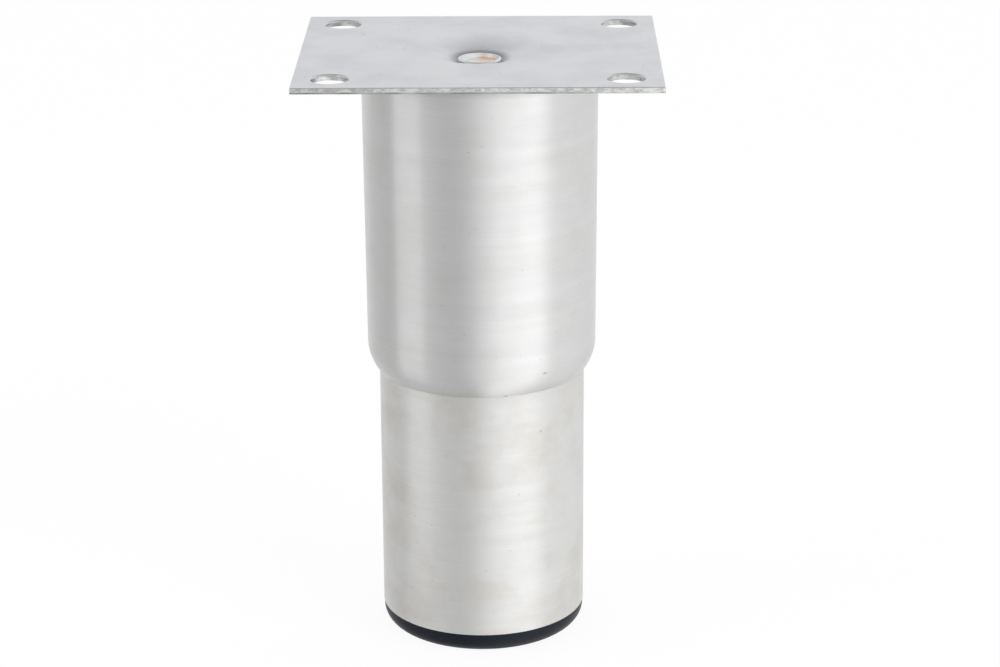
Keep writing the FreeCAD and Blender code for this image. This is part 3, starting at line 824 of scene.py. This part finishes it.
def lathe(
    name: str, outline: list[Point], material: bpy.types.Material, steps: int = 224
) -> bpy.types.Object:
    """Turns a closed outline round the Z axis.

    Args:
        name: The new object's name.
        outline: Radius and height of each corner, in millimetres, all the way round the section.
        material: The material that it gets.
        steps: How many facets go round.

    Returns:
        The new object.
    """
    maker = MeshMaker()
    rings = [maker.ring(circle((0.0, 0.0), radius, height, steps)) for radius, height in outline]
    maker.skin([*rings, rings[0]])
    return maker.finish(name, material)


def place_piece(piece: bpy.types.Object, body: Carrier, node: str) -> bpy.types.Object:
    """Sets what a piece moves with, and hides the solid that it stands for.

    Args:
        piece: The new piece.
        body: The body that it moves with.
        node: The solid that it stands for.

    Returns:
        The same piece.
    """
    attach(piece, body.value)
    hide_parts(node)
    LOG.info("%s: %d faces, moves with %s", piece.name, len(piece.data.polygons), body.value)
    return piece


@dataclass
class Dish:
    """The pressing that the plate and the shell's top share: one arc that rolls over into the neck's hole."""

    radius: float = 18.0
    hole_radius: float = 5.15
    depth: float = 3.0

    def profile(self, level: float, steps: int = 24) -> list[Point]:
        """Points down the pressing, from its outer edge to the hole for the screw's neck.

        Args:
            level: The height of its outer edge.
            steps: How many chords the arc has.

        Returns:
            Radius and height of each point.
        """
        # The arc leaves its outer edge level and has dropped by the whole depth at the hole
        run = self.radius - self.hole_radius
        bend = (run**2 + self.depth**2) / (2 * self.depth)
        turn = math.degrees(math.asin(run / bend))
        return arc((self.radius, level - bend), bend, 90, 90 + turn, steps)


@dataclass
class MountingPlate:
    """Sheet with four punched holes near its corners and a pressed dish in its middle."""

    top: float = 152.4
    thick: float = 1.5
    width: float = 88.9
    depth: float = 76.2
    corner: float = 0.5
    roll: float = 0.3
    hole_radius: float = 4.5
    hole_roll: float = 0.6
    margin: float = 9.0
    dish: Dish = field(default_factory=Dish)
    round_steps: int = 128

    def finish(self) -> MilledSheet:
        """The sheet's finish, which needs to know where its cut edges are."""
        under = self.top - self.thick
        return MilledSheet("stainless_sheet_mill_finish", under, self.width / 2, self.depth / 2)

    def rolled_edge(self, radius: float) -> list[Point]:
        """Points down a rolled edge and the side under it: how far each is set back, and its height."""
        return [*arc((radius, self.top - radius), radius, 90, 180, 6), (0.0, self.top - self.thick)]

    def border(self, inset: float, height: float) -> list[Place]:
        """Points of the plate's outline, set in by a distance.

        Args:
            inset: How far the outline is set in.
            height: The height of the points.

        Returns:
            The points, counterclockwise from above.
        """
        across = self.width / 2 - inset
        along = self.depth / 2 - inset
        radius = max(self.corner - inset, 0.05)
        points = []
        for start, x, y in ((-90, 1, -1), (0, 1, 1), (90, -1, 1), (180, -1, -1)):
            corner = (x * (across - radius), y * (along - radius))
            points += [(*point, height) for point in arc(corner, radius, start, start + 90, 6)]
        return points

    def build(self) -> bpy.types.Object:
        """Builds the plate.

        Returns:
            The plate, in place.
        """
        maker = MeshMaker()
        skins = [[maker.ring(self.border(inset, height)) for inset, height in self.rolled_edge(self.roll)]]
        across = self.width / 2 - self.margin
        along = self.depth / 2 - self.margin
        for centre in ((-across, -along), (across, -along), (across, along), (-across, along)):
            skins.append([
                maker.ring(circle(centre, self.hole_radius + inset, height, self.round_steps))
                for inset, height in self.rolled_edge(self.hole_roll)
            ])
        pressed = self.dish.profile(self.top)
        pressed += self.dish.profile(self.top - self.thick)[::-1]
        skins.append([maker.ring(circle((0.0, 0.0), r, z, self.round_steps)) for r, z in pressed])
        for rings in skins:
            maker.skin(rings)
        maker.sheet([rings[0] for rings in skins])
        maker.sheet([rings[-1] for rings in skins])
        plate = maker.finish("plate_sheet", self.finish().build())
        return place_piece(plate, Carrier.HOUSING, "mounting_plate")


@dataclass
class OuterShell:
    """Drawn stainless shell, slightly narrower towards its lower end, where it is spun in to a nose."""

    top: float = 150.88
    length: float = 80.6
    top_radius: float = 29.5
    low_radius: float = 29.1
    wall: float = 1.2
    corner: float = 4.0
    nose: float = 11.0
    land: float = 26.4
    dish: Dish = field(default_factory=Dish)

    def outline(self) -> list[Point]:
        """Works out the shell's section.

        Returns:
            Radius and height of each point, all the way round.
        """
        # The nose bends in from the wall until it has come down to the land's radius
        across = self.nose - self.low_radius + self.land
        turn = math.degrees(math.acos(across / self.nose))
        inner_turn = math.degrees(math.acos(across / (self.nose - self.wall)))
        rise = self.nose * math.sin(math.radians(turn))
        nose_at = (self.low_radius - self.nose, self.top - self.length + rise)
        corner_at = (self.top_radius - self.corner, self.top - self.corner)
        return [
            *arc(nose_at, self.nose, -turn, 0, 20),
            *arc(corner_at, self.corner, 0, 90, 8),
            *self.dish.profile(self.top),
            *self.dish.profile(self.top - self.wall)[::-1],
            *arc(corner_at, self.corner - self.wall, 90, 0, 6),
            *arc(nose_at, self.nose - self.wall, 0, -inner_turn, 14),
        ]

    def build(self) -> bpy.types.Object:
        """Builds the shell.

        Returns:
            The shell, in place.
        """
        finish = BrushedStainless(
            "stainless_brushed_round",
            colour="#DADADA", stain="#CBC9C4", stain_share=0.35, roughness=0.33, stretch=0.9,
            nicks=((6.3, -25.8, 70.4), (16.0, -24.1, 75.9)),
        )
        shell = lathe("shell_drawn", self.outline(), finish.build())
        return place_piece(shell, Carrier.HOUSING, "outer_shell")


@dataclass
class InnerTube:
    """Straight brushed tube that comes out of the shell's nose and stands in the foot."""

    low: float = 5.5
    length: float = 107.0
    radius: float = 26.2
    wall: float = 1.2
    chamfer: float = 0.3

    def outline(self) -> list[Point]:
        """Works out the tube's section.

        Returns:
            Radius and height of each point, all the way round.
        """
        high = self.low + self.length
        bore = self.radius - self.wall
        return [
            (self.radius, self.low),
            (self.radius, high - self.chamfer),
            (self.radius - self.chamfer, high),
            (bore + self.chamfer, high),
            (bore, high - self.chamfer),
            (bore, self.low + self.chamfer),
            (bore + self.chamfer, self.low),
        ]

    def build(self) -> bpy.types.Object:
        """Builds the tube.

        Returns:
            The tube, in place.
        """
        # Hands that turn the leg leave a dull film here, which scatters some of the light
        finish = BrushedStainless(
            "stainless_tube_brushed_round",
            colour="#E0E0DF", stain="#D0CBC1", stain_share=0.6, roughness=0.42, stretch=0.87, bare=0.85,
        )
        tube = lathe("tube_brushed", self.outline(), finish.build())
        return place_piece(tube, Carrier.LEG, "inner_tube")


@dataclass
class Mechanism:
    """The solids that keep their own shape: the screw drive inside the leg, and the foot under it."""

    cup_radius: float = 4.4
    cup_level: float = 149.29
    shank_radius: float = 8.0
    pitch: float = 2.0

    def dress(self, finish: Finish, *nodes: str) -> None:
        """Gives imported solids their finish.

        Args:
            finish: The finish that they share.
            nodes: The solids' names.
        """
        material = finish.build()
        for node in nodes:
            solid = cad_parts[node]
            if not solid.material_slots:
                solid.data.materials.append(material)
            for place in solid.material_slots:
                place.material = material
            LOG.info("%s: dressed in %s", node, material.name)

    def build(self) -> None:
        """Dresses every solid that no piece of the scene replaces."""
        turned = RivetedScrewSteel(
            "carbon_steel_turned", self.cup_radius, self.cup_level, self.shank_radius, self.pitch
        )
        self.dress(turned, "adjusting_screw")
        zinc = CoatedSteel("steel_zinc_plated", "#C4C8CC", "#B2B7BD", 0.3)
        self.dress(zinc, "spreader_washer", "stop_washer", "nut_carrier", "lifting_nut")
        phosphate = CoatedSteel("spring_steel_phosphated", "#2B2B2D", "#1E1E20", 0.45, metallic=0.6)
        self.dress(phosphate, "retaining_clip")
        nylon = MouldedPlastic("nylon_moulded_natural", "#E6E2D4", "#D6D0BE", 0.42, see_in=0.15)
        self.dress(nylon, "guide_ring")
        polyamide = MouldedPlastic("polyamide_moulded_blue_black", "#0F151F", "#19212C", 0.38, specular=0.18)
        self.dress(polyamide, "foot_cap")


@dataclass(frozen=True)
class Lamp:
    """One soft lamp that faces the object, and that reflections leave out.

    Its azimuth is counted from the camera, and its height, distance and size are in metres.
    """

    name: str
    azimuth: float
    height: float
    distance: float
    size: float
    watts: float

    def hang(self, target: Vector) -> None:
        """Hangs the lamp, aimed at a place given in metres.

        Args:
            target: The place that it faces.
        """
        data = bpy.data.lights.new(self.name, "AREA")
        data.size = self.size
        data.energy = self.watts
        lamp = bpy.data.objects.new(self.name, data)
        turn = math.radians(self.azimuth)
        lamp.location = Vector((math.sin(turn) * self.distance, -math.cos(turn) * self.distance, self.height))
        lamp.rotation_euler = (target - lamp.location).to_track_quat("-Z", "Y").to_euler()
        lamp.visible_glossy = False
        bpy.context.scene.collection.objects.link(lamp)


@dataclass
class Studio:
    """White paper floor, soft lamps, and the bright and dim walls that metal needs to look like metal."""

    target: Vector = field(default_factory=lambda: Vector((0.0, 0.0, 0.08)))
    peak: float = 1.65
    overhead: float = 0.95
    plain: float = 0.55
    lamps: tuple[Lamp, ...] = (
        Lamp("key_softbox", 50.0, 0.9, 1.3, 0.9, 11.0),
        Lamp("fill_softbox", -75.0, 0.8, 1.3, 0.9, 7.0),
        Lamp("top_softbox", 170.0, 1.6, 0.5, 1.2, 8.0),
    )

    def walls(self) -> list[tuple[float, Colour]]:
        """Brightness of the studio round the object, which brushed steel shows as upright bands.

        Returns:
            Stops of a ramp that runs once round, from behind the object by its left and front.
        """
        # Angles from the camera, positive to its right, with the brightness of the studio there
        bands = {
            -180: 0.95, -150: 0.84, -130: 0.72, -105: 0.66, -80: 0.75, -56: 0.79, -42: 0.71, -32: 0.68,
            -20: 0.70, -8: 0.84, 2: 1.03, 12: 1.20, 20: 1.38, 34: 1.50, 46: 1.61, 58: 1.65, 66: 1.51,
            74: 1.23, 84: 1.12, 104: 1.06, 125: 0.99, 145: 0.92, 180: 0.95,
        }
        return [((degrees + 180) / 360, grey(value / self.peak)) for degrees, value in sorted(bands.items())]

    def reflections(self, tree: bpy.types.NodeTree) -> bpy.types.Node:
        """Adds what reflections show: the walls' bright and dim bands under a darker ceiling.

        Args:
            tree: The world's node tree.

        Returns:
            A node that gives the light.
        """
        toward = add_node(tree, "SeparateXYZ", links={0: add_node(tree, "TexCoord").outputs["Generated"]})
        front = add_node(tree, "Math", {"operation": "MULTIPLY", 1: -1.0}, {0: toward.outputs["Y"]})
        angle = add_node(tree, "Math", {"operation": "ARCTAN2"}, {0: toward.outputs["X"], 1: front})
        turn = add_node(tree, "MapRange", {"From Min": -math.pi, "From Max": math.pi}, {"Value": angle})
        bands = add_node(tree, "ValToRGB", {"stops": self.walls()}, {"Fac": turn})
        # Light that comes from above the horizon is capped, so that level faces burn out from no side
        calm = (self.overhead / self.peak,) * 3
        capped = add_node(tree, "VectorMath", {"operation": "MINIMUM", 1: calm}, {0: bands})
        over = add_node(tree, "MapRange", {"From Max": 0.2}, {"Value": toward.outputs["Z"]})
        walls = add_node(tree, "Mix", {"data_type": "RGBA"}, {"Factor": over, 6: bands, 7: capped})
        rise = add_node(tree, "MapRange", {"From Min": -1.0}, {"Value": toward.outputs["Z"]})
        # From the floor, at 0, to the ceiling, at 1, which is the darkest part
        levels = {0.06: 0.92, 0.24: 1.0, 0.78: 1.0, 0.93: 0.5, 1.0: 0.4}
        stops = [(height, grey(value)) for height, value in levels.items()]
        ceiling = add_node(tree, "ValToRGB", {"stops": stops}, {"Fac": rise})
        shaped = add_node(tree, "VectorMath", {"operation": "MULTIPLY"}, {0: walls, 1: ceiling})
        return add_node(tree, "VectorMath", {"operation": "SCALE", "Scale": self.peak}, {0: shaped})

    def world(self) -> None:
        """Lights the studio evenly, shows its walls to reflections and white to the camera."""
        world = bpy.data.worlds.new("studio_white")
        bpy.context.scene.world = world
        world.use_nodes = True
        tree = world.node_tree
        tree.nodes.clear()
        glossy = add_node(tree, "LightPath").outputs["Is Glossy Ray"]
        even = {"data_type": "RGBA", 6: grey(self.plain)}
        room = add_node(tree, "Mix", even, {"Factor": glossy, 7: self.reflections(tree)})
        seen = add_node(
            tree, "Mix", {"data_type": "RGBA", 7: grey(1.0)}, {"Factor": direct_view(tree), 6: room}
        )
        background = add_node(tree, "Background", {"Strength": 1.0}, {"Color": seen})
        add_node(tree, "OutputWorld", links={"Surface": background})

    def floor(self) -> None:
        """Lays the paper, which reflections leave out."""
        maker = MeshMaker()
        reach = 4000.0
        # A hair under the foot, so that the two faces never lie in one plane
        level = -0.02
        corners = ((-1, -1), (1, -1), (1, 1), (-1, 1))
        maker.cap(maker.ring([(x * reach, y * reach, level) for x, y in corners]))
        floor = maker.finish("paper_floor", SeamlessPaper("seamless_white_paper").build())
        floor.visible_glossy = False
        # The foot stands on the paper at every height, so the paper rises and falls with it
        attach(floor, Carrier.SLIDER.value)

    def card(self) -> None:
        """Stands a white card close on the left, which only reflections show."""
        near, far = (-85.0, -68.0), (-104.0, -18.6)
        tall = 230.0
        maker = MeshMaker()
        maker.cap(maker.ring([(*near, 0.0), (*far, 0.0), (*far, tall), (*near, tall)]))
        card = maker.finish("reflector_card", GlowingCard("white_reflector_card").build())
        card.visible_camera = False
        card.visible_diffuse = False
        card.visible_shadow = False
        card.visible_transmission = False

    def build(self) -> None:
        """Sets up the whole studio."""
        self.world()
        self.floor()
        self.card()
        for lamp in self.lamps:
            lamp.hang(self.target)


@dataclass
class PhotoCamera:
    """The photograph's camera, fitted to the plate's corners and the tubes' outlines."""

    place: Place = (11.01, -710.6, 321.8)
    lens: float = 105.59
    pitch: float = 18.93
    yaw: float = -0.509
    roll: float = -0.313

    def build(self) -> None:
        """Makes the camera and hands it to the scene."""
        data = bpy.data.cameras.new("photo_camera")
        data.lens = self.lens
        data.sensor_width = 36.0
        data.sensor_fit = "HORIZONTAL"
        data.clip_start = 0.05
        data.clip_end = 20.0
        camera = bpy.data.objects.new("photo_camera", data)
        bpy.context.scene.collection.objects.link(camera)
        yaw, pitch, roll = (math.radians(turn) for turn in (self.yaw, self.pitch, self.roll))
        forward = Vector((
            math.sin(yaw) * math.cos(pitch), math.cos(yaw) * math.cos(pitch), -math.sin(pitch)
        ))
        level = forward.cross(Vector((0, 0, 1))).normalized()
        upright = level.cross(forward)
        side = level * math.cos(roll) + upright * math.sin(roll)
        top = upright * math.cos(roll) - level * math.sin(roll)
        turn = Matrix((side, top, -forward)).transposed()
        camera.matrix_world = Matrix.Translation(Vector(self.place) * MM) @ turn.to_4x4()
        bpy.context.scene.camera = camera


def main() -> None:
    """Builds the leg's looks and the studio round it."""
    logging.basicConfig(level=logging.INFO, format="%(message)s")
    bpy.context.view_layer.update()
    bpy.context.scene.view_settings.view_transform = "Standard"

    PhotoCamera().build()
    MountingPlate().build()
    OuterShell().build()
    InnerTube().build()
    Mechanism().build()
    Studio().build()


if __name__ == "__main__":
    main()
